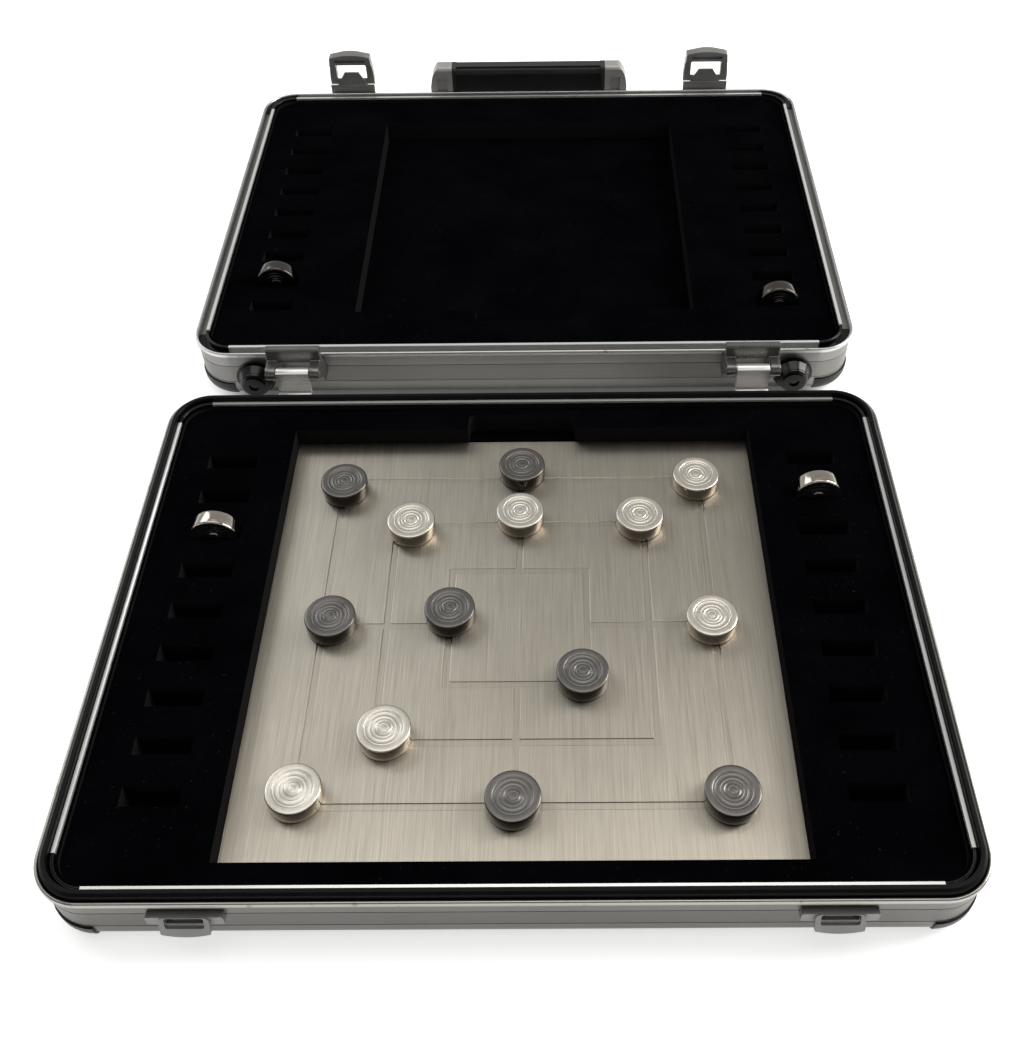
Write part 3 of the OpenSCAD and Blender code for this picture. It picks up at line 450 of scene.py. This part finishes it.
# The stones, in millimetres: a turned body with ridges, grooves and a rounded edge. Half the
# height is a hair less than the solid's, so that no face lies in the plane of the board.
STONE_R = 14.4
STONE_H = 4.785
STONE_EDGE = 1.0
EDGE_STEPS = 4
SEGMENTS = 80
# Distance from the axis and depth below the face
STONE_FACE = [
    (0.0, 0.20), (1.9, 0.20), (2.15, 0.27), (2.4, 0.20), (3.2, 0.17), (3.5, 0.22), (3.75, 0.42),
    (4.05, 0.52), (4.35, 0.42), (4.7, 0.20), (5.0, 0.14), (5.3, 0.20), (5.55, 0.30), (6.4, 0.31),
    (6.65, 0.20), (6.9, 0.16), (7.15, 0.20), (7.4, 0.31), (9.1, 0.32), (9.35, 0.21), (9.6, 0.16),
    (9.85, 0.21), (10.1, 0.30), (10.35, 0.30), (10.65, 0.06), (10.95, 0.0), (13.1, 0.0),
]


def stone_profile():
    """Half outline from the middle of one face to the middle of the other."""
    top = [(r, STONE_H - d) for r, d in STONE_FACE]
    for k in range(1, EDGE_STEPS + 1):
        a = math.radians(90 / EDGE_STEPS * k)
        top.append((STONE_R + STONE_EDGE * (math.sin(a) - 1), STONE_H + STONE_EDGE * (math.cos(a) - 1)))
    return top + [(r, -z) for r, z in reversed(top)]


def turned(name, node):
    """The stone's profile turned about its axis, at the middle of the node that it replaces."""
    lo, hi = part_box(name)
    mid = [(lo[i] + hi[i]) / 2 for i in range(3)]
    bm = bmesh.new()
    rows = []
    for r, z in stone_profile():
        angles = [2 * math.pi * k / SEGMENTS for k in range(SEGMENTS if r else 1)]
        rows.append([bm.verts.new((r * math.cos(a), r * math.sin(a), z)) for a in angles])
    for a, b in zip(rows, rows[1:]):
        for k in range(SEGMENTS):
            j = (k + 1) % SEGMENTS
            if len(a) == 1:
                bm.faces.new((a[0], b[k], b[j]))
            elif len(b) == 1:
                bm.faces.new((a[j], a[k], b[0]))
            else:
                bm.faces.new((a[j], a[k], b[k], b[j]))
    turn = Matrix.Rotation(math.radians(90), 4, "X") if name in STANDING else Matrix.Identity(4)
    bm.transform(Matrix.Translation(mid) @ turn @ Matrix.Scale(MM, 4))
    bmesh.ops.recalc_face_normals(bm, faces=bm.faces)
    me = bpy.data.meshes.new(name + "_turned")
    bm.to_mesh(me)
    bm.free()
    me.polygons.foreach_set("use_smooth", [True] * len(me.polygons))
    me.set_sharp_from_angle(angle=math.radians(50))
    o = bpy.data.objects.new(name + "_turned", me)
    S.collection.objects.link(o)
    me.materials.append(M[look_of(name)])
    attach(o, body_of(node)[0])
    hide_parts(name)


for name in sorted(NODES):
    if "stone" in name:
        turned(name, NODES[name])


# Narrow bevels that catch the light along sharp edges, in millimetres. The board's is under
# half the depth of its lines, so that the bevels of a wall's two edges don't meet.
BEVELS = {
    "board_plate": 0.25, "keeper_left": 0.3, "keeper_right": 0.3, "hinge_straps": 0.3,
    "hinge_brackets": 0.4, "latch_lever_left": 0.3, "latch_lever_right": 0.3, "latch_bodies": 0.3,
    "handle_ends": 0.4, "handle_mounts": 0.3, "base_lip_corners": 0.3, "lid_lip_corners": 0.3,
}
TRAY_BEVEL = 0.7
WELD = 0.002


def soften(node, width, angle):
    w = node.modifiers.new("weld", "WELD")
    w.merge_threshold = WELD * MM
    m = node.modifiers.new("bevel", "BEVEL")
    m.width = width * MM
    m.segments = 2
    m.limit_method = "ANGLE"
    m.angle_limit = math.radians(angle)


for name, width in BEVELS.items():
    soften(NODES[name], width, 38)
for name in NODES:
    if "tray" in name:
        soften(NODES[name], TRAY_BEVEL, 50)


# Floor, light and world
FLOOR_HALF = 12.0
FLOOR_DROP = 0.0002
# The floor glows, but hardly under the case, up to these distances from the middle, so that
# the shadow along the case stays
SHADE_X, SHADE_Y = 0.215, 0.34
GLOW_UNDER, GLOW_ROUND = 0.06, 0.62


def floor():
    h = FLOOR_HALF
    me = bpy.data.meshes.new("floor")
    me.from_pydata([(-h, -h, 0), (h, -h, 0), (h, h, 0), (-h, h, 0)], [], [(0, 1, 2, 3)])
    o = bpy.data.objects.new("floor", me)
    S.collection.objects.link(o)
    n = material("floor")
    n.set(Base_Color=(0.86, 0.86, 0.86, 1), Roughness=0.95, Specular_IOR_Level=0.05)
    n.set(Emission_Color=(1, 1, 1, 1))
    place = n.split("Object")
    px = n.math("SUBTRACT", n.math("ABSOLUTE", place[0]), SHADE_X)
    py = n.math("SUBTRACT", n.math("ABSOLUTE", place[1]), SHADE_Y)
    glow = n.remap(n.math("MAXIMUM", px, py), -0.02, 0.0, GLOW_UNDER, GLOW_ROUND)
    n.link(glow, n.b.inputs["Emission Strength"])
    me.materials.append(n.owner)
    o.location.z = -FLOOR_DROP


def area(name, loc, target, size, power, color):
    d = bpy.data.lights.new(name, "AREA")
    d.shape = "RECTANGLE"
    d.size, d.size_y = size
    d.energy = power
    d.color = color
    o = bpy.data.objects.new(name, d)
    S.collection.objects.link(o)
    o.location = loc
    o.rotation_euler = (Vector(target) - Vector(loc)).to_track_quat("-Z", "Y").to_euler()


# The studio's brightness by the sine of the height above the horizon
SKY = [
    (0.0, grey(0.80)), (0.20, (0.55, 0.55, 0.54)), (0.45, (0.44, 0.438, 0.43)),
    (0.74, (0.44, 0.435, 0.42)), (0.80, (0.38, 0.375, 0.36)), (0.86, (0.44, 0.43, 0.41)),
    (0.905, (1.15, 1.12, 1.05)), (0.95, (2.1, 2.05, 1.93)), (1.0, (2.2, 2.15, 2.05)),
]
# How much darker it is high up on the camera's side
NEAR_DIM = 0.75


def world():
    w = bpy.data.worlds.new("studio")
    S.world = w
    n = Net(w, "Background")
    way = n.split("Generated")
    n.link(n.ramp(way[2], SKY), n.b.inputs["Color"])
    near = n.remap(way[1], -0.35, 0.1, NEAR_DIM, 0.0)
    high = n.remap(way[2], 0.25, 0.5, 0.0, 1.0)
    n.link(n.math("SUBTRACT", 1.0, n.math("MULTIPLY", near, high)), n.b.inputs["Strength"])


floor()
world()
area("window", (2.0, 0.3, 1.25), (0, -0.1, 0), (1.0, 1.8), 46, (1.0, 0.97, 0.92))
area("far", (-1.7, 1.2, 1.6), (0, 0, 0), (1.4, 1.2), 12, (0.95, 0.98, 1.0))

S.view_settings.view_transform = "Standard"
S.view_settings.look = "None"
